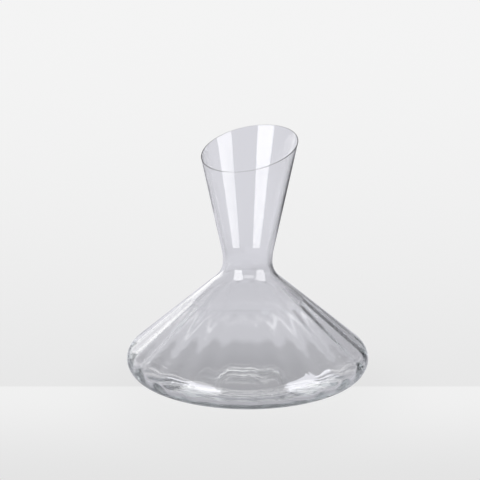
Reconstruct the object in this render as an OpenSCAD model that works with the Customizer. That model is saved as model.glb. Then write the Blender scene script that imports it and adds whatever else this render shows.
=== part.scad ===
// Wine decanter: one mouth-blown piece of clear glass, wide and low, with a
// slender throat, a funnel-shaped neck and a mouth cut on a slant to pour from.
//
// The glass is divided where a glassblower names its zones. Neighbouring
// zones share one ring-shaped face and never overlap, so the wall is whole
// when they are put together and the bowl stays open all the way down.
//
// Frame: origin on the axis, on the table. +Z up, +X towards the high side of
// the slanted mouth. Millimetres and degrees.

/* [Bowl] */
// Widest outside diameter of the bowl
bowl_d = 220; // [200:1:240]
// Height of the widest line above the table
belly_z = 32.5; // [30:0.5:36]
// Outside radius of the rounded belly edge
belly_r = 12.5; // [10:0.5:15]
// Slope of the shoulder above the horizontal
shoulder_angle = 40.7; // [39:0.1:43]
// Slope of the lower bowl where it runs into the belly edge
underside_angle = 22.5; // [21.5:0.1:23.5]
// Radius of the slight bulge of the lower bowl between foot and belly
underside_r = 1200; // [900:50:2000]

/* [Foot] */
// Radius of the wide soft curve from the foot ring up into the lower bowl
foot_r = 90; // [80:1:100]
// Width of the flat ring that the decanter stands on
ring_w = 3; // [2:0.5:5]
// Radius that turns the ring up into the pushed-up bottom
kick_r = 40; // [30:1:45]
// Height of the pushed-up bottom above the table
kick_h = 0.3; // [0.2:0.1:0.6]
// Diameter of the polished hollow in the middle of the bottom
hollow_d = 41; // [30:1:44]
// Depth of the polished hollow
hollow_h = 0.9; // [0.5:0.1:1.6]
// Diameter of the floor inside
floor_d = 66; // [60:1:72]

/* [Throat] */
// Narrowest outside diameter
throat_d = 44.5; // [40:0.5:50]
// Radius that turns the shoulder up into the throat
throat_r = 21; // [16:1:26]
// Radius that opens the throat into the neck
flare_r = 52; // [40:1:70]

/* [Neck] */
// Flare of the neck, from its axis to its wall
flare_angle = 12; // [10:0.1:14]
// Height of the slanted cut, on the axis
rim_z = 226; // [215:1:245]
// Slant of the cut, from the horizontal
rim_slant = 16.5; // [8:0.5:20]

/* [Glass] */
// Thickness in the middle of the bottom, over the polished hollow
wall_bottom = 4.4; // [4:0.1:5]
// Thickness over the foot ring, at the edge of the floor inside
wall_foot = 4.7; // [4.2:0.1:5]
// Thickness where the foot curve ends and the lower bowl begins
wall_dish = 7.8; // [6.5:0.1:8.5]
// Thickness where the lower bowl runs into the belly edge
wall_under = 4.8; // [4:0.1:5.5]
// Thickness at the widest line
wall_belly = 3.2; // [2.5:0.1:4]
// Thickness of the shoulder, where it leaves the belly edge
wall_shoulder = 1.8; // [1.6:0.1:3]
// Thickness of the throat
wall_throat = 1.8; // [1.4:0.1:3]
// Thickness at the mouth
wall_rim = 1.1; // [0.9:0.1:2]

/* [Hidden] */
$fn = 96;
arc_steps = 14;
spare = 5;
clear_glass = [0.86, 0.89, 0.92, 0.45];

// The wall is a row of stations from the foot to the mouth. A station is
// [arc centre, arc radius, angle of the outward normal, glass thickness].
// A hollow curve, as at the throat, has a negative radius, and a plain point
// has none.
function toward(angle) = [cos(angle), sin(angle)];
function outer_point(s) = s[0] + s[1] * toward(s[2]);
function inner_point(s) = s[0] + (s[1] - s[3]) * toward(s[2]);
function bend(centre, radius, from, to, wall_from, wall_to) =
    [for (i = [0:arc_steps]) let (t = i / arc_steps)
        [centre, radius, from + t * (to - from), wall_from + t * (wall_to - wall_from)]];
function last(list) = list[len(list) - 1];
function backwards(list) = [for (i = [1:len(list)]) list[len(list) - i]];

// Angle of the outward normal along the wall
normal_table = -90;
normal_under = underside_angle - 90;
normal_belly = 0;
normal_shoulder = 90 - shoulder_angle;
normal_throat = 0;
normal_neck = -flare_angle;

// The belly edge, the lower bowl that runs tangent into it, and the foot curve
// that is tangent to the lower bowl and to the table
belly_c = [bowl_d / 2 - belly_r, belly_z];
under_c = belly_c - (underside_r - belly_r) * toward(normal_under);
foot_c = [under_c[0] + sqrt(pow(underside_r - foot_r, 2) - pow(under_c[1] - foot_r, 2)), foot_r];
normal_foot = atan2(foot_c[1] - under_c[1], foot_c[0] - under_c[0]);
foot_wall = bend(foot_c, foot_r, normal_table, normal_foot, wall_dish, wall_dish);
under_wall = bend(under_c, underside_r, normal_foot, normal_under, wall_dish, wall_under);
lower_edge = bend(belly_c, belly_r, normal_under, normal_belly, wall_under, wall_belly);
upper_edge = bend(belly_c, belly_r, normal_belly, normal_shoulder, wall_belly, wall_shoulder);

// The throat curve, tangent to the shoulder's straight line, and the curve
// that opens it into the straight flare of the neck
shoulder_n = toward(normal_shoulder);
shoulder_foot = belly_c + belly_r * shoulder_n;
throat_cx = throat_d / 2 + throat_r;
throat_z = shoulder_foot[1]
    + (throat_r - shoulder_n[0] * (throat_cx - shoulder_foot[0])) / shoulder_n[1];
throat_wall = bend([throat_cx, throat_z], -throat_r,
    normal_shoulder, normal_throat, wall_throat, wall_throat);
flare_wall = bend([throat_d / 2 + flare_r, throat_z], -flare_r,
    normal_throat, normal_neck, wall_throat, wall_throat);

// The neck runs straight on past the highest point of the slanted cut
neck_foot = outer_point(last(flare_wall));
rim_high = (rim_z + tan(rim_slant) * (neck_foot[0] - tan(flare_angle) * neck_foot[1]))
    / (1 - tan(rim_slant) * tan(flare_angle));
neck_len = (rim_high + spare - neck_foot[1]) / cos(flare_angle);
neck_top = [neck_foot + neck_len * toward(90 - flare_angle), 0, normal_neck, wall_rim];

// The bottom, from the axis out to the foot ring: the polished hollow, the
// flat round it, and the small curve down to the ring
ring_in = foot_c[0] - ring_w;
hollow_r = (pow(hollow_d / 2, 2) + pow(hollow_h, 2)) / (2 * hollow_h);
hollow_half = asin(hollow_d / 2 / hollow_r);
hollow_line = [for (i = [0:arc_steps]) let (a = hollow_half * i / arc_steps)
    [hollow_r * sin(a), kick_h + hollow_h - hollow_r * (1 - cos(a))]];
kick_turn = acos(1 - kick_h / kick_r);
kick_line = [for (i = [0:arc_steps]) let (a = kick_turn * (1 - i / arc_steps))
    [ring_in - kick_r * sin(a), kick_r * (1 - cos(a))]];

// The floor inside is a low dome. From its edge the inside runs straight up
// to the end of the foot curve, so the glass is thickest over that curve
floor_top = kick_h + hollow_h + wall_bottom;
floor_edge = [floor_d / 2, wall_foot];
floor_drop = floor_top - floor_edge[1];
floor_r = (pow(floor_edge[0], 2) + pow(floor_drop, 2)) / (2 * floor_drop);
floor_half = asin(floor_edge[0] / floor_r);
floor_line = [for (i = [0:arc_steps]) let (a = floor_half * i / arc_steps)
    [floor_r * sin(a), floor_top - floor_r * (1 - cos(a))]];

// Revolves the wall between the first and the last of a row of stations
module ring_of_wall(stations)
    rotate_extrude()
        polygon(concat(
            [for (s = stations) outer_point(s)],
            [for (s = backwards(stations)) inner_point(s)]));

// The thick bottom: polished hollow, foot ring and the first of the wall
module base()
    color(clear_glass)
        rotate_extrude()
            polygon(concat(
                hollow_line,
                kick_line,
                [for (s = foot_wall) outer_point(s)],
                [inner_point(last(foot_wall))],
                backwards(floor_line)));

// The shallow dish from the foot out and up to the widest line
module lower_bowl()
    color(clear_glass)
        ring_of_wall(concat(under_wall, lower_edge));

// From the widest line over the belly edge and up the straight slope
module shoulder()
    color(clear_glass)
        ring_of_wall(concat(upper_edge, [throat_wall[0]]));

// The narrow place that the hand holds
module throat()
    color(clear_glass)
        ring_of_wall(concat(throat_wall, flare_wall));

// The funnel, cut on a slant so that its high side makes the pouring lip
module neck()
    color(clear_glass)
        difference() {
            ring_of_wall([last(flare_wall), neck_top]);
            translate([0, 0, rim_z])
                rotate([0, -rim_slant, 0])
                    translate([-bowl_d / 2, -bowl_d / 2, 0])
                        cube([bowl_d, bowl_d, rim_z]);
        }

base();
lower_bowl();
shoulder();
throat();
neck();
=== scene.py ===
# %% [markdown]
# # A mouth-blown wine decanter
# This lesson builds one piece of clear glass: a wide low bowl, a long sloping shoulder, a narrow
# throat and a funnel neck whose mouth is cut on a slant. The wall is drawn once, as an outline in
# the plane of the axis, and then turned, as a glassblower turns the pipe. The finish is almost
# nothing but refraction, so the inside of the wall is modelled with the same care as the outside.

# %% Load the frame
from math import acos, atan2, cos, degrees, hypot, pi, radians, sin, sqrt, tan

import bmesh
import bpy
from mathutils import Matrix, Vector


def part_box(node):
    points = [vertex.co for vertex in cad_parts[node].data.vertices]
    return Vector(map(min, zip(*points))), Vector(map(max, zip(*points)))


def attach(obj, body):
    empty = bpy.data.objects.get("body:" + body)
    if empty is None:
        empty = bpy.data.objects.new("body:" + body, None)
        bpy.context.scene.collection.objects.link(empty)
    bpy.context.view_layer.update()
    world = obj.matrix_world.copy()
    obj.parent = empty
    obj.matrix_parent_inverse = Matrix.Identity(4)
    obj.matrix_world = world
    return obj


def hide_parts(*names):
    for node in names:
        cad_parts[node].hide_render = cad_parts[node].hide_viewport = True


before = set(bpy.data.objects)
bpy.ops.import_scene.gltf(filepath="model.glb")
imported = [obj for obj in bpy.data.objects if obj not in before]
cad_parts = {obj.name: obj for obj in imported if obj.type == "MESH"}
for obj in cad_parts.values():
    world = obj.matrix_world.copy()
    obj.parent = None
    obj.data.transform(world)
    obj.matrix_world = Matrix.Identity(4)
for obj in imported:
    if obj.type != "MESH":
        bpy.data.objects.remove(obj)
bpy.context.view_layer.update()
MM = 0.001

# %% [markdown]
# ## Where the zones of the glass lie
# The frame holds the glass in five zones that meet face to face. Their boxes give the heights and
# widths that the outline must keep to: the widest line is where the lower bowl ends, and the top
# of the neck is the high side of the slanted mouth.

# %% Read the heights and widths
BOWL_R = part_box("shoulder")[1].x
BELLY_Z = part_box("lower_bowl")[1].z
MOUTH_HIGH_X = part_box("neck")[1].x
MOUTH_HIGH_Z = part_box("neck")[1].z
print("bowl radius", round(BOWL_R, 5), "widest line", round(BELLY_Z, 5))
print("high side of the mouth", round(MOUTH_HIGH_X, 5), "out and", round(MOUTH_HIGH_Z, 5), "up")

# %% [markdown]
# ## A pen, a ruler and a compass
# An outline for turning is best drawn with the tools of a drawing board. The pen is one vertex of
# a bmesh. The ruler extrudes it along a straight line, and the compass spins it round a centre, so
# every round stretch is a true arc and every point on it comes from an operator. The points on the
# cavity's side are marked, because the ribs pressed in later belong only there.

# %% Make the pen
def polar(centre, radius, angle):
    """The point of the outline's plane at an angle, in degrees, round a centre."""
    return Vector((centre[0] + radius * cos(radians(angle)), centre[1] + radius * sin(radians(angle))))


class Pen:
    """Draws a chain of edges in the XZ plane: x is the distance from the axis."""

    def __init__(self, bm, at):
        self.bm = bm
        self.side = bm.verts.layers.float.new("side")
        self.vert = bm.verts.new((at[0], 0, at[1]))
        self.drawn_before = set()

    def turn_inside(self):
        """The points drawn from here on lie on the cavity's side of the wall."""
        self.drawn_before = set(self.bm.verts)

    def mark_inside(self):
        """Writes that into the points: 1 on the cavity's side, 0 on the outside."""
        for vert in set(self.bm.verts) - self.drawn_before:
            vert[self.side] = 1

    def place(self):
        """Where the pen stands: distance from the axis and height."""
        return Vector((self.vert.co.x, self.vert.co.z))

    def rule(self, to, step):
        """Straight to a point, in equal steps of about the given length."""
        span = Vector(to) - self.place()
        count = max(1, round(span.length / step))
        for _ in range(count):
            made = bmesh.ops.extrude_vert_indiv(self.bm, verts=[self.vert])["verts"]
            bmesh.ops.translate(self.bm, verts=made, vec=(span.x / count, 0, span.y / count))
            self.vert = made[0]

    def compass(self, centre, turn, step):
        """Round a centre by an angle in degrees, positive from +X towards +Z."""
        length = (self.place() - Vector(centre)).length * abs(radians(turn))
        spun = bmesh.ops.spin(self.bm, geom=[self.vert], cent=(centre[0], 0, centre[1]), axis=(0, -1, 0),
                              dvec=(0, 0, 0), angle=radians(turn), steps=max(3, round(length / step)),
                              use_merge=False, use_duplicate=False)
        self.vert = [item for item in spun["geom_last"] if isinstance(item, bmesh.types.BMVert)][0]


print("pen, ruler and compass ready")

# %% [markdown]
# ## The lower half of the outside
# From the middle of the bottom outwards: the polished hollow that is left where the pontil rod
# broke away, the pushed-up flat, the foot ring that it stands on, the slightly bulging dish of the
# lower bowl and the tight roll of the belly edge. Each bend is tangent to its neighbours, as it is
# in glass, so the centres are worked out from the radii: a circle that touches another from the
# inside has its centre at the difference of the two radii.

# %% Place the lower centres
UNDER_SLOPE = 22.5
BELLY_R, UNDER_R, FOOT_R = 12.5 * MM, 1200 * MM, 90 * MM
RING_W, KICK_R, KICK_H = 3 * MM, 40 * MM, 0.3 * MM
HOLLOW_W, HOLLOW_H = 20.5 * MM, 0.9 * MM

belly_c = Vector((BOWL_R - BELLY_R, BELLY_Z))
under_c = polar(belly_c, BELLY_R - UNDER_R, UNDER_SLOPE - 90)
foot_c = Vector((under_c.x + sqrt((UNDER_R - FOOT_R) ** 2 - (under_c.y - FOOT_R) ** 2), FOOT_R))
foot_angle = degrees(atan2(foot_c.y - under_c.y, foot_c.x - under_c.x))
ring_x = foot_c.x - RING_W
kick_angle = degrees(acos(1 - KICK_H / KICK_R))
hollow_r = (HOLLOW_W ** 2 + HOLLOW_H ** 2) / (2 * HOLLOW_H)
hollow_angle = degrees(atan2(HOLLOW_W, hollow_r - HOLLOW_H))
print("foot ring from", round(ring_x / MM, 2), "to", round(foot_c.x / MM, 2), "mm from the axis")

# %% [markdown]
# ## The upper half of the outside
# The shoulder is one straight slope, tangent to the belly edge and to the hollow curve of the
# throat, and that fixes the height of the throat. Above it a wider curve opens into the straight
# funnel. The funnel is drawn to a level rim at the height where the slanted cut crosses the axis.

# %% Place the upper centres
SHOULDER_SLOPE, FLARE = 40.7, 12.0
THROAT_W, THROAT_R, FLARE_R = 22.25 * MM, 21 * MM, 52 * MM
CUT_SLANT = 16.5
WALL_RIM = 0.7 * MM

shoulder_angle = 90 - SHOULDER_SLOPE
shoulder_n = polar((0, 0), 1, shoulder_angle)
shoulder_low = polar(belly_c, BELLY_R, shoulder_angle)
throat_x = THROAT_W + THROAT_R
throat_z = shoulder_low.y + (THROAT_R - shoulder_n.x * (throat_x - shoulder_low.x)) / shoulder_n.y
throat_c = Vector((throat_x, throat_z))
flare_c = Vector((THROAT_W + FLARE_R, throat_z))
flare_foot = polar(flare_c, FLARE_R, 180 - FLARE)
cut_z = MOUTH_HIGH_Z - tan(radians(CUT_SLANT)) * MOUTH_HIGH_X
rim_r = WALL_RIM / 2
rim_low = cut_z - rim_r
mouth = Vector((flare_foot.x + tan(radians(FLARE)) * (rim_low - flare_foot.y), rim_low))
print("throat at", round(throat_z, 4), "cut crosses the axis at", round(cut_z, 4))

# %% [markdown]
# ## Drawing the outside
# Tight bends need close points and straight slopes need few, so the pen has three steps. The last
# step below the mouth is short: the shading of the round rim then stays in the rim, where a long
# face would smear it down the neck as a dark wedge.

# %% Draw the outside
FINE, PLAIN, LONG = 1.1 * MM, 2.8 * MM, 7 * MM
LIP = 0.25 * MM

lip_way = polar((0, 0), LIP, 90 - FLARE)
outline = bmesh.new()
pen = Pen(outline, (0, KICK_H + HOLLOW_H))
pen.compass((0, KICK_H + HOLLOW_H - hollow_r), -hollow_angle, PLAIN)
pen.rule((ring_x - KICK_R * sin(radians(kick_angle)), KICK_H), PLAIN)
pen.compass((ring_x, KICK_R), kick_angle, PLAIN)
pen.rule((foot_c.x, 0), PLAIN)
pen.compass(foot_c, foot_angle + 90, PLAIN)
pen.compass(under_c, UNDER_SLOPE - 90 - foot_angle, PLAIN)
pen.compass(belly_c, shoulder_angle + 90 - UNDER_SLOPE, FINE)
pen.rule(polar(throat_c, THROAT_R, 180 + shoulder_angle), LONG)
pen.compass(throat_c, -shoulder_angle, FINE)
pen.compass(flare_c, -FLARE, FINE)
NECK_FOOT_Z = pen.place().y
pen.rule(mouth - lip_way, LONG)
pen.rule(mouth, LONG)
outside_count = len(outline.verts)
print("outside drawn with", outside_count, "points")

# %% [markdown]
# ## Two sums for tangents
# Inside, one straight line leans against two circles and one fillet has to touch a line and a
# circle at once. Both are old drawing-board problems with a closed answer, so nothing is fitted by
# trial: the tangent from a point to a circle, and how far to slide a circle along a line until it
# meets another.

# %% Make the tangent sums
def tangent_angle(at, centre, radius):
    """Normal of the line from a point that just touches a circle, in degrees."""
    away = at - centre
    return degrees(atan2(away.y, away.x) - acos(radius / away.length))


def slide_until(at, along, centre, distance):
    """How far to go from a point along a direction to be at a distance from a centre."""
    gap = at - centre
    half = gap.dot(along)
    return -half - sqrt(half * half - gap.length_squared + distance * distance)


print("tangent sums ready")

# %% [markdown]
# ## The shape of the inside
# The glass is thin at the mouth, under two millimetres at the throat and along the shoulder, and
# grows to a heavy floor where the gather cooled first. The belly's inner roll has a smaller radius
# and sits a little higher than the outer one, which thickens the wall below it. That wedge bends
# light hard, so the lower bowl has bright patches and dark edges where the shoulder has few.

# %% Place the inner centres
WALL_THROAT = 1.8 * MM
BELLY_IN_R, BELLY_IN_UP = 9.4 * MM, 1.8 * MM
INNER_SLOPE = 16.5
FLOOR_TOP, FLOOR_R, FLOOR_FILLET = 5.6 * MM, 600 * MM, 26 * MM

belly_in = belly_c + Vector((0, BELLY_IN_UP))
throat_in = polar(throat_c, THROAT_R + WALL_THROAT, 180 + shoulder_angle)
slope_in = tangent_angle(throat_in, belly_in, BELLY_IN_R)
floor_c = Vector((0, FLOOR_TOP - FLOOR_R))
dish_angle = INNER_SLOPE - 90
dish_start = polar(belly_in, BELLY_IN_R, dish_angle)
dish_way = Vector((-cos(radians(INNER_SLOPE)), -sin(radians(INNER_SLOPE))))
fillet_start = polar(dish_start, -FLOOR_FILLET, dish_angle)
fillet_way = slide_until(fillet_start, dish_way, floor_c, FLOOR_R + FLOOR_FILLET)
fillet_c = fillet_start + dish_way * fillet_way
fillet_floor = degrees(atan2(floor_c.y - fillet_c.y, floor_c.x - fillet_c.x))
floor_turn = 90 - degrees(atan2(fillet_c.y - floor_c.y, fillet_c.x - floor_c.x))
print("the floor's fillet starts", round((dish_start + dish_way * fillet_way).x / MM, 1), "mm out")

# %% [markdown]
# ## Drawing the rim and the inside
# The cut edge is held in the flame until it melts round, so the rim is a half circle as wide as the
# wall. From there the pen goes down the inside, in the opposite order to the outside, and ends on
# the axis, on top of the floor.

# %% Draw the rim and the inside
RIM_STEP = 0.2 * MM

pen.compass(mouth - Vector((rim_r, 0)), 180, RIM_STEP)
pen.turn_inside()
pen.rule(mouth - Vector((WALL_RIM, 0)) - lip_way, LONG)
pen.rule(polar(flare_c, FLARE_R + WALL_THROAT, 180 - FLARE), LONG)
pen.compass(flare_c, FLARE, FINE)
pen.compass(throat_c, shoulder_angle, FINE)
pen.rule(polar(belly_in, BELLY_IN_R, slope_in), PLAIN)
pen.compass(belly_in, dish_angle - slope_in, FINE)
pen.rule(dish_start + dish_way * fillet_way, PLAIN)
pen.compass(fillet_c, fillet_floor - dish_angle, FINE)
pen.compass(floor_c, floor_turn, PLAIN)
pen.mark_inside()
print("inside drawn with", len(outline.verts) - outside_count, "points, and ends",
      [round(v / MM, 3) for v in pen.place()])

# %% [markdown]
# ## Turning the outline
# One spin operator turns the outline through a full circle. The two ends of the outline lie on the
# axis, so their copies fall on one point each: merging them closes the poles, and the whole wall
# is then one closed skin, outside and inside together. The number of steps is a multiple of the
# number of ribs, so that every rib comes out the same.

# %% Turn it
RIBS = 24
TURN_STEPS = RIBS * 10
HAIR = 1e-6

for vert in outline.verts:
    if abs(vert.co.x) < HAIR:
        vert.co.x = 0
bmesh.ops.spin(outline, geom=outline.verts[:] + outline.edges[:], cent=(0, 0, 0), axis=(0, 0, 1),
               dvec=(0, 0, 0), angle=2 * pi, steps=TURN_STEPS, use_merge=True, use_duplicate=False)
bmesh.ops.remove_doubles(outline, verts=outline.verts[:], dist=HAIR)
bmesh.ops.recalc_face_normals(outline, faces=outline.faces[:])
open_edges = sum(1 for edge in outline.edges if len(edge.link_faces) != 2)
print("turned:", len(outline.faces), "faces,", open_edges, "open edges, volume",
      round(outline.calc_volume() * 1e6, 1), "ml")

# %% [markdown]
# ## Optic ribs
# The gather was first blown into a ribbed mould and then finished in a smooth one, which pushes the
# ribs through to the inside. They are strongest on the shoulder and the belly, die away towards the
# foot and the throat, and bend whatever is seen through the glass into soft vertical waves. A rib
# is a move along the surface's normal, a cosine of the angle round the axis.

# %% Describe the ribs
RIB_DEPTH = 0.3 * MM
RIB_FROM, RIB_FULL = 50 * MM, 84 * MM
RIB_FADE, RIB_TOP = 85 * MM, 118 * MM


def ramp(value, start, end):
    """0 at start, 1 at end, with soft ends."""
    t = min(1, max(0, (value - start) / (end - start)))
    return t * t * (3 - 2 * t)


def rib_move(vert):
    """How the ribs move a point of the inside."""
    r = hypot(vert.co.x, vert.co.y)
    lower = ramp(r, RIB_FROM, RIB_FULL) if vert.co.z < BELLY_Z else 1
    upper = 1 - ramp(vert.co.z, RIB_FADE, RIB_TOP)
    wave = cos(RIBS * atan2(vert.co.y, vert.co.x))
    return vert.normal * RIB_DEPTH * wave * lower * upper


print(RIBS, "ribs,", round(RIB_DEPTH / MM, 2), "mm deep")

# %% [markdown]
# ## Tool rings
# The bottom is flattened with a paddle while the pipe turns, which can leave shallow rings on the
# floor inside. Here they move it by fifteen thousandths of a millimetre and waver a little. That is
# enough to stir the edges of whatever is seen through the floor, and too little to see as a shape.

# %% Describe the tool rings
TOOL_RING, TOOL_DEPTH = 12.5 * MM, 0.015 * MM
TOOL_IN, TOOL_OUT = (8 * MM, 20 * MM), (50 * MM, 70 * MM)
WOBBLE_FULL = 30 * MM


def tool_move(vert):
    """How the tool rings lift a point of the floor."""
    r, turn = hypot(vert.co.x, vert.co.y), atan2(vert.co.y, vert.co.x)
    wobble = 1.6 * MM * cos(5 * turn + 1) + 1.1 * MM * cos(8 * turn)
    swell = cos(2 * pi * (r + wobble * min(1, r / WOBBLE_FULL)) / TOOL_RING)
    swell *= ramp(r, *TOOL_IN) * (1 - ramp(r, *TOOL_OUT))
    return Vector((0, 0, TOOL_DEPTH * swell))


print("tool rings", round(TOOL_RING / MM, 1), "mm apart")

# %% [markdown]
# ## Pressing both into the inside
# Only the points that the pen marked as inside are moved. All the moves are worked out before the
# first point moves, so neither effect reads a surface that the other has already changed.

# %% Press the ribs and rings
outline.normal_update()
moves = []
for vert in outline.verts:
    r, z = hypot(vert.co.x, vert.co.y), vert.co.z
    if vert[pen.side] < 0.5 or z > RIB_TOP:
        continue
    if z < BELLY_Z and r < TOOL_OUT[1]:
        moves.append((vert, tool_move(vert)))
    if r >= RIB_FROM:
        moves.append((vert, rib_move(vert)))
for vert, move in moves:
    vert.co += move
print(len(moves), "moves made on the inside")

# %% [markdown]
# ## The slanted mouth
# The neck was turned with a level top. The shears then cut it on a slant, highest at the pouring
# lip. Here each point of the neck slides along its own straight line of the funnel, in proportion
# to its height, until the level rim lies in the slanted plane, so the wall stays a true cone.

# %% Slant the mouth
def slanted_height(x, y):
    """Height of the cut over a point of the level rim, sliding along the funnel's wall."""
    r = hypot(x, y)
    lean = tan(radians(CUT_SLANT)) * x / r
    return (cut_z + lean * (r - tan(radians(FLARE)) * cut_z)) / (1 - lean * tan(radians(FLARE)))


for vert in outline.verts:
    climb = (vert.co.z - NECK_FOOT_Z) / (cut_z - NECK_FOOT_Z)
    if climb <= 0:
        continue
    r = hypot(vert.co.x, vert.co.y)
    out = Vector((vert.co.x, vert.co.y)) / r
    lift = (slanted_height(*(out * mouth.x)) - cut_z) * climb
    new_r = r + tan(radians(FLARE)) * lift
    vert.co = Vector((out.x * new_r, out.y * new_r, vert.co.z + lift))
print("cut from", round(slanted_height(-mouth.x, 0), 4), "to", round(slanted_height(mouth.x, 0), 4))

# %% [markdown]
# ## The finished mesh
# The object stays at the origin, unturned and unscaled, with its place in its mesh, so its object
# coordinates are the decanter's own and the finishes below can be given in real heights. Smooth
# shading matters more here than on an opaque piece: each facet of a flat-shaded wall would be a
# small prism.

# %% Make the object
def finish_mesh(bm, name):
    """Turns a bmesh into a smooth-shaded object at the origin."""
    mesh = bpy.data.meshes.new(name)
    bm.to_mesh(mesh)
    bm.free()
    mesh.shade_smooth()
    piece = bpy.data.objects.new(name, mesh)
    bpy.context.scene.collection.objects.link(piece)
    return piece


glass = finish_mesh(outline, "decanter_glass")
print(glass.name, len(glass.data.polygons), "faces")

# %% [markdown]
# ## A short hand for material nodes
# Every finish below is a small network of nodes. `add` makes a node, sets its constants and wires
# its inputs in one line, so that a network reads from top to bottom like a recipe.

# %% Make the node maker
def new_material(name):
    """An empty material with its Principled shader, ready to be wired."""
    material = bpy.data.materials.new(name)
    material.use_nodes = True
    return material, material.node_tree


def add(tree, kind, wires=None, **settings):
    """Makes a node; wires maps its input names or numbers to sockets or constants."""
    node = tree.nodes.new("ShaderNode" + kind)
    for key, value in settings.items():
        setattr(node, key, value)
    for key, value in (wires or {}).items():
        if isinstance(value, bpy.types.NodeSocket):
            tree.links.new(value, node.inputs[key])
        else:
            node.inputs[key].default_value = value
    return node


print("node maker ready")

# %% [markdown]
# ## Arithmetic in nodes
# Most nodes of a finish only do sums. `reckon` is one step of arithmetic, and `grade` turns one
# range of values into another, with soft ends unless told otherwise. Both give back the socket, so
# that the next step can use it by name.

# %% Make the sums
def reckon(tree, operation, *values):
    """One step of arithmetic on sockets and numbers."""
    return add(tree, "Math", dict(enumerate(values)), operation=operation).outputs[0]


def grade(tree, value, span, gives, kind="SMOOTHSTEP"):
    """Maps a span of a value onto another, level outside it."""
    wires = {"Value": value, "From Min": span[0], "From Max": span[1],
             "To Min": gives[0], "To Max": gives[1]}
    return add(tree, "MapRange", wires, interpolation_type=kind).outputs[0]


print("sums ready")

# %% [markdown]
# ## Shared effects
# An effect that changes one property, such as the height of the surface or its roughness, is kept
# as a node group. It takes a place and gives a number, and the material decides what to do with it.

# %% Make the group helpers
def new_group(name, takes, gives):
    """A shared effect: a node group with named vector or number sockets."""
    tree = bpy.data.node_groups.new(name, "ShaderNodeTree")
    for label, kind in takes:
        tree.interface.new_socket(label, in_out="INPUT", socket_type="NodeSocket" + kind)
    for label, kind in gives:
        tree.interface.new_socket(label, in_out="OUTPUT", socket_type="NodeSocket" + kind)
    return tree, tree.nodes.new("NodeGroupInput"), tree.nodes.new("NodeGroupOutput")


def use_group(tree, group, wires):
    """Places a shared effect in a material and wires it."""
    node = add(tree, "Group", None, node_tree=group)
    for key, socket in wires.items():
        tree.links.new(socket, node.inputs[key])
    return node


print("group helpers ready")

# %% [markdown]
# ## The marks of blowing
# Blown glass is never optically flat. Cords, thin threads of slightly different glass, are drawn
# out round the axis as the piece turns, and the wall swells and thins a little in broad soft
# patches. Both are slopes of a fraction of a degree, too small to model, so they are one height
# for a bump: a broad noise and a noise stretched round the axis by reading it in radius and height.

# %% Make the cords and swells
CORD_DRIFT, CORD_SHARE = 12 * MM, 0.16

cords, takes, gives = new_group("cords_and_swells", [("Place", "Vector")], [("Height", "Float")])
swells = add(cords, "TexNoise", {"Vector": takes.outputs["Place"], "Scale": 26.0, "Detail": 1.5,
                                 "Roughness": 0.4})
split = add(cords, "SeparateXYZ", {"Vector": takes.outputs["Place"]})
across = reckon(cords, "MULTIPLY", split.outputs["X"], split.outputs["X"])
along = reckon(cords, "MULTIPLY_ADD", split.outputs["Y"], split.outputs["Y"], across)
radius = reckon(cords, "POWER", along, 0.5)
drift = reckon(cords, "MULTIPLY_ADD", swells.outputs["Fac"], CORD_DRIFT, split.outputs["Z"])
turned = add(cords, "CombineXYZ", {"X": radius, "Y": 0.0, "Z": drift})
threads = add(cords, "TexNoise", {"Vector": turned.outputs[0], "Scale": 150.0, "Detail": 2.0,
                                  "Roughness": 0.5})
height = reckon(cords, "MULTIPLY_ADD", threads.outputs["Fac"], CORD_SHARE, swells.outputs["Fac"])
cords.links.new(height, gives.inputs["Height"])
print(cords.name, len(cords.nodes), "nodes")

# %% [markdown]
# ## The marks of use
# A decanter is polished by hand and stood down on bar tops. The cloth leaves a haze in soft arcs,
# and the ring that it stands on is frosted by fine scratches. Both only change the roughness: the
# haze by a hundredth or two, the foot by much more, and only on the ring that touches the table.

# %% Make the haze and the worn foot
HAZE_ROUGHNESS, SCUFF_ROUGHNESS = 0.02, (0.1, 0.35)
SCUFF_HEIGHT = (0.02 * MM, 0.2 * MM)

wear, takes, gives = new_group("haze_and_wear", [("Place", "Vector")], [("Roughness", "Float")])
split = add(wear, "SeparateXYZ", {"Vector": takes.outputs["Place"]})
smears = add(wear, "TexNoise", {"Vector": takes.outputs["Place"], "Scale": 38.0, "Detail": 5.0,
                                "Roughness": 0.62, "Distortion": 1.4})
haze = grade(wear, smears.outputs["Fac"], (0.52, 0.78), (0.0, HAZE_ROUGHNESS))
scratches = add(wear, "TexNoise", {"Vector": takes.outputs["Place"], "Scale": 1400.0, "Detail": 2.0})
scuffed = grade(wear, scratches.outputs["Fac"], (0.35, 0.65), SCUFF_ROUGHNESS, "LINEAR")
near_table = grade(wear, split.outputs["Z"], SCUFF_HEIGHT, (1.0, 0.0), "LINEAR")
foot = reckon(wear, "MULTIPLY", scuffed, near_table)
total = reckon(wear, "MAXIMUM", haze, foot)
wear.links.new(total, gives.inputs["Roughness"])
print(wear.name, len(wear.nodes), "nodes")

# %% [markdown]
# ## Clear glass
# Clear soda glass bends light with an index of about 1.5, and this is entered as one constant.
# Its colour is nearly none; over the centimetres that light travels inside the thick bottom it
# turns a cool grey, which is set as absorption inside the wall, not as paint on its surface. So
# the thin neck stays clear and the heavy bottom darkens by itself.

# %% Make the glass
INDEX = 1.5
GREY_INSIDE, GREY_DENSITY = (0.80, 0.82, 0.83, 1), 14.0

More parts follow.
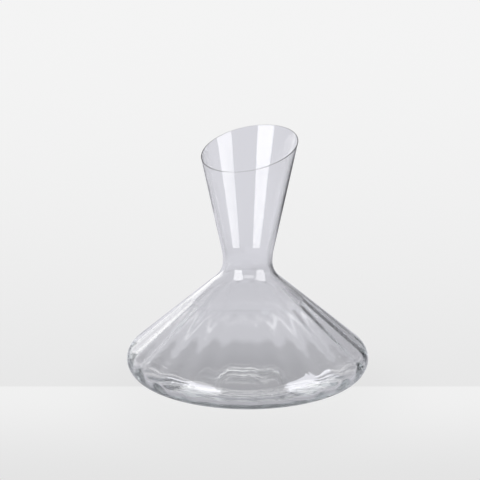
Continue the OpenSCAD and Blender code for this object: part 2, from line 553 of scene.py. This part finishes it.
clear_glass, tree = new_material("clear_glass")
shader = tree.nodes["Principled BSDF"]
shader.inputs["Base Color"].default_value = (1.0, 1.0, 1.0, 1)
shader.inputs["Metallic"].default_value = 0.0
shader.inputs["Transmission Weight"].default_value = 1.0
shader.inputs["IOR"].default_value = INDEX
place = add(tree, "TexCoord")
marks = use_group(tree, cords, {"Place": place.outputs["Object"]})
bump = add(tree, "Bump", {"Height": marks.outputs["Height"], "Strength": 0.2, "Distance": 0.001})
tree.links.new(bump.outputs["Normal"], shader.inputs["Normal"])
use = use_group(tree, wear, {"Place": place.outputs["Object"]})
tree.links.new(use.outputs["Roughness"], shader.inputs["Roughness"])
depth = add(tree, "VolumeAbsorption", {"Color": GREY_INSIDE, "Density": GREY_DENSITY})
tree.links.new(depth.outputs["Volume"], tree.nodes["Material Output"].inputs["Volume"])

glass.data.materials.append(clear_glass)
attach(glass, "root")
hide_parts("base", "lower_bowl", "shoulder", "throat", "neck")
print("glass:", len(tree.nodes), "nodes")

# %% [markdown]
# ## The camera
# A long lens stands well back and looks down a little, so the verticals stay nearly parallel and
# the mouth opens as a narrow ellipse. The camera is turned so that the pouring lip points to the
# right and away. Its directions, ahead and to the right, also serve to place the studio.

# %% Place the camera
VIEW_TURN, VIEW_PITCH = 55, 16
VIEW_DISTANCE, VIEW_RISE, VIEW_SHIFT = 1.5186, 0.1371, 0.0069
LENS = 123.75
UP = Vector((0, 0, 1))

ahead = Vector((sin(radians(VIEW_TURN)), cos(radians(VIEW_TURN)), 0))
right = Vector((cos(radians(VIEW_TURN)), -sin(radians(VIEW_TURN)), 0))
look = ahead * cos(radians(VIEW_PITCH)) - UP * sin(radians(VIEW_PITCH))
camera = bpy.data.objects.new("camera", bpy.data.cameras.new("camera"))
bpy.context.scene.collection.objects.link(camera)
camera.data.lens = LENS
camera.location = right.cross(look) * VIEW_RISE - look * VIEW_DISTANCE - right * VIEW_SHIFT
camera.rotation_euler = look.to_track_quat("-Z", "Y").to_euler()
camera.data.clip_start, camera.data.clip_end = 0.05, 50
bpy.context.scene.camera = camera
print("camera at", [round(value, 3) for value in camera.location])

# %% [markdown]
# ## Flat cards
# Everything in the studio is a flat card: the table, the softboxes, the flag. A card is a grid of
# one square, scaled, turned to face a direction and moved into place by operators, so the object
# itself stays unturned at the origin.

# %% Make a card
def around(azimuth, elevation, distance):
    """A point round the decanter: azimuth from the camera's side, positive to the right."""
    turn, rise = radians(azimuth), radians(elevation)
    level = right * sin(turn) - ahead * cos(turn)
    return (level * cos(rise) + UP * sin(rise)) * distance


def panel(name, centre, facing, width, height, material):
    """A flat card of the stage, facing a direction."""
    bm = bmesh.new()
    bmesh.ops.create_grid(bm, x_segments=1, y_segments=1, size=0.5)
    bmesh.ops.scale(bm, verts=bm.verts[:], vec=(width, height, 1))
    turn = Vector(facing).to_track_quat("Z", "Y").to_matrix()
    bmesh.ops.rotate(bm, verts=bm.verts[:], cent=(0, 0, 0), matrix=turn)
    bmesh.ops.translate(bm, verts=bm.verts[:], vec=centre)
    card = finish_mesh(bm, name)
    card.data.materials.append(material)
    return card


print("card maker ready")

# %% [markdown]
# ## The table as the camera sees it
# The stage is one flat sheet of white paper that fades a little towards the camera. Just behind the
# decanter's axis its tone steps down, and beyond that it brightens slowly into the distance. Round
# the bowl there is the faintest painted shade. The grain is too fine to see as more than a softness.
# The sheet is painted as a glow, because an evenly lit sheet of paper and a glowing one look the same.

# %% Paint the sheet
TONE_STEP_AT = (0.005, 0.009)
FAR_VALUE, TONE_STEP_DROP, FADE_RATE = 0.905, 0.105, 1.65
FRONT_REACH, FRONT_VALUE = (-0.22, 0.0), (0.775, 0.875)
SHADE_REACH, SHADE_VALUE = (0.06, 0.2), (0.955, 1.0)

paper, tree = new_material("table_paper")
tree.nodes.clear()
spot = add(tree, "TexCoord").outputs["Object"]
depth_in = add(tree, "VectorMath", {0: spot, 1: ahead}, operation="DOT_PRODUCT").outputs["Value"]
flat = add(tree, "VectorMath", {0: spot, 1: (1.0, 1.0, 0.0)}, operation="MULTIPLY").outputs[0]
out_by = add(tree, "VectorMath", {0: flat}, operation="LENGTH").outputs["Value"]
fade = reckon(tree, "EXPONENT", reckon(tree, "MULTIPLY", depth_in, -FADE_RATE))
# Behind the axis the sheet's tone is darker and brightens with distance; the sheet itself stays flat.
behind = reckon(tree, "MULTIPLY_ADD", fade, -TONE_STEP_DROP, FAR_VALUE)
front = grade(tree, depth_in, FRONT_REACH, FRONT_VALUE)
tone_step = grade(tree, depth_in, TONE_STEP_AT, (0.0, 1.0), "LINEAR")
near = add(tree, "Mix", {"Factor": tone_step, 2: front, 3: behind}, data_type="FLOAT").outputs[0]
# A faint painted shade round the bowl.
shade = grade(tree, out_by, SHADE_REACH, SHADE_VALUE, "SMOOTHERSTEP")
grain = add(tree, "TexNoise", {"Vector": spot, "Scale": 900.0, "Detail": 2.0})
fibre = grade(tree, grain.outputs["Fac"], (0.0, 1.0), (0.994, 1.006), "LINEAR")
seen = reckon(tree, "MULTIPLY", reckon(tree, "MULTIPLY", near, shade), fibre)
print("sheet painted:", len(tree.nodes), "nodes so far")

# %% [markdown]
# ## The light that the glass picks up from the table
# Under the bowl the sheet lies in the decanter's own shade, painted here, so the glass draws much
# less light from it there than out in the open. Far off to the right a dark flag keeps the light
# away too; its shade on the sheet is painted as well, and that darkens the right-hand outline of the
# shoulder.

# %% Dim the sheet under the bowl
UNDER_REACH, UNDER_VALUE = (0.04, 0.1), (0.38, 0.47)
EDGE_REACH, EDGE_GAIN = (0.1, 0.125), (0.0, 0.16)
OPEN_REACH, OPEN_GAIN = (0.13, 0.6), (0.0, 0.09)
FLAG_FROM, FLAG_SIDE, FLAG_DIM = (0.25, 0.5), (0.12, 0.35), (1.0, 0.3)

# Painted shade under the bowl, with a painted brighter ring at its edge.
under = grade(tree, out_by, UNDER_REACH, UNDER_VALUE)
edge = grade(tree, out_by, EDGE_REACH, EDGE_GAIN)
in_open = grade(tree, out_by, OPEN_REACH, OPEN_GAIN)
# Painted shade of the flag on the sheet, far out to the right.
sideways = add(tree, "VectorMath", {0: spot, 1: right}, operation="DOT_PRODUCT").outputs["Value"]
bearing = reckon(tree, "DIVIDE", sideways, out_by)
dim = grade(tree, bearing, FLAG_SIDE, FLAG_DIM)
away = grade(tree, out_by, FLAG_FROM, (0.0, 1.0))
dimmed = add(tree, "Mix", {"Factor": away, 2: 1.0, 3: dim}, data_type="FLOAT").outputs[0]
lit = reckon(tree, "ADD", reckon(tree, "ADD", under, edge), in_open)
lit = reckon(tree, "MULTIPLY", lit, dimmed)
print("sheet dimmed:", len(tree.nodes), "nodes so far")

# %% [markdown]
# ## Pools of light
# Light that has gone through a decanter gathers into bright pools on the table, and their edges
# waver with the ribs. Tracing such pools needs many samples, so two are painted instead, as ovals
# pushed about by a noise. They lie where the thick lower bowl looks at the table and belong only to
# the light that the glass picks up, where they brighten the white patches low in the bowl.

# %% Paint the pools
POOL_VALUE, POOL_EDGE = 0.95, (0.85, 1.0)
WAVER_SCALE, WAVER_REACH = 90.0, 0.02


def pool(centre, heading, long, short):
    """Mask of one pool. Its centre and heading are distances ahead and to the right."""
    middle = ahead * centre[0] + right * centre[1]
    way = (ahead * heading[0] + right * heading[1]).normalized()
    side = Vector((-way.y, way.x, 0))
    noise = add(tree, "TexNoise", {"Vector": spot, "Scale": WAVER_SCALE, "Detail": 1.0})
    push = add(tree, "VectorMath", {0: noise.outputs["Color"], 1: (0.5, 0.5, 0.5)}, operation="SUBTRACT")
    push = add(tree, "VectorMath", {0: push.outputs[0], "Scale": WAVER_REACH}, operation="SCALE")
    moved = add(tree, "VectorMath", {0: spot, 1: push.outputs[0]}, operation="ADD")
    gap = add(tree, "VectorMath", {0: moved.outputs[0], 1: middle}, operation="SUBTRACT").outputs[0]
    lengthwise = add(tree, "VectorMath", {0: gap, 1: way / long}, operation="DOT_PRODUCT")
    crosswise = add(tree, "VectorMath", {0: gap, 1: side / short}, operation="DOT_PRODUCT")
    both = add(tree, "CombineXYZ", {"X": lengthwise.outputs["Value"], "Y": crosswise.outputs["Value"]})
    reach = add(tree, "VectorMath", {0: both.outputs[0]}, operation="LENGTH")
    return grade(tree, reach.outputs["Value"], POOL_EDGE, (1.0, 0.0), "LINEAR")


left_pool = pool(centre=(-0.021, -0.051), heading=(-0.82, 0.57), long=0.036, short=0.014)
right_pool = pool(centre=(-0.004, 0.057), heading=(-0.91, -0.41), long=0.039, short=0.019)
for mask in (left_pool, right_pool):
    lit = reckon(tree, "MAXIMUM", lit, reckon(tree, "MULTIPLY", mask, POOL_VALUE))
print("pools painted:", len(tree.nodes), "nodes so far")

# %% [markdown]
# ## Laying the sheet down
# A ray straight from the camera meets the sheet as it looks; every other ray, having gone through
# the glass or bounced off it, meets the light that the glass picks up, which is slightly cooler.

# %% Lay the sheet
COOL, PLAIN_WHITE = (0.96, 0.96, 1.03, 1), (1.0, 1.0, 1.0, 1)
TABLE_SIZE, TABLE_DROP = 9, 0.2 * MM

direct = add(tree, "LightPath").outputs["Is Camera Ray"]
value = add(tree, "Mix", {"Factor": direct, 2: lit, 3: seen}, data_type="FLOAT").outputs[0]
tint = add(tree, "Mix", {"Factor": direct, 6: COOL, 7: PLAIN_WHITE}, data_type="RGBA").outputs[2]
glow = add(tree, "Emission", {"Color": tint, "Strength": value})
add(tree, "OutputMaterial", {"Surface": glow.outputs[0]})
panel("table", (0, 0, -TABLE_DROP), UP, TABLE_SIZE, TABLE_SIZE, paper)
print("table paper:", len(tree.nodes), "nodes")

# %% [markdown]
# ## The studio
# Clear glass shows nothing but its surroundings, so the studio is drawn with care: two tall
# softboxes on the camera's side make the bright stripes in the neck and the spots on the throat, a
# strip over the camera brightens the edges, a pale card stands behind and a dark flag to the right
# of it draws the shoulder's outline. The camera can't see the cards, only the glass can.

# %% Set up the cards
def set_card(name, azimuth, elevation, distance, width, height, strength):
    """A card that glows evenly and faces the decanter."""
    material, tree = new_material(name)
    tree.nodes.clear()
    glow = add(tree, "Emission", {"Color": PLAIN_WHITE, "Strength": strength})
    add(tree, "OutputMaterial", {"Surface": glow.outputs[0]})
    stands = around(azimuth, elevation, distance)
    card = panel(name, stands, -stands, width, height, material)
    card.visible_camera = False


set_card("softbox_left", -44, 22, 1.3, width=0.9, height=1.1, strength=4.5)
set_card("softbox_right", 60, 22, 1.3, width=0.9, height=1.1, strength=3.7)
set_card("strip_over_camera", 5, 29, 2.3, width=1.7, height=0.55, strength=2.3)
set_card("card_behind", 180, 5, 1.2, width=0.46, height=0.25, strength=1.4)
set_card("card_behind_left", -148, 8, 2.6, width=2.0, height=0.8, strength=1.3)
set_card("flag_right", 135, 14, 2.4, width=2.2, height=1.4, strength=0.03)
print("six cards set up")

# %% [markdown]
# ## The room
# The rest of the room is an even grey. Light can be trapped for a long way inside a thick wall of
# glass, turned back again and again by its surfaces. With the usual few bounces it would end there
# as black, so the scene allows many more, and the thick edges come out grey instead.

# %% Light the room
ROOM_GREY = (0.45, 0.45, 0.46, 1)
SURFACE_BOUNCES, MIRROR_BOUNCES = 32, 24

world = bpy.data.worlds.new("room")
bpy.context.scene.world = world
world.use_nodes = True
world.node_tree.nodes["Background"].inputs["Color"].default_value = ROOM_GREY
world.node_tree.nodes["Background"].inputs["Strength"].default_value = 1.0
bpy.context.scene.view_settings.view_transform = "Standard"
bpy.context.scene.cycles.max_bounces = SURFACE_BOUNCES
bpy.context.scene.cycles.glossy_bounces = MIRROR_BOUNCES
bpy.context.scene.cycles.transmission_bounces = SURFACE_BOUNCES
print("room set up,", SURFACE_BOUNCES, "bounces")
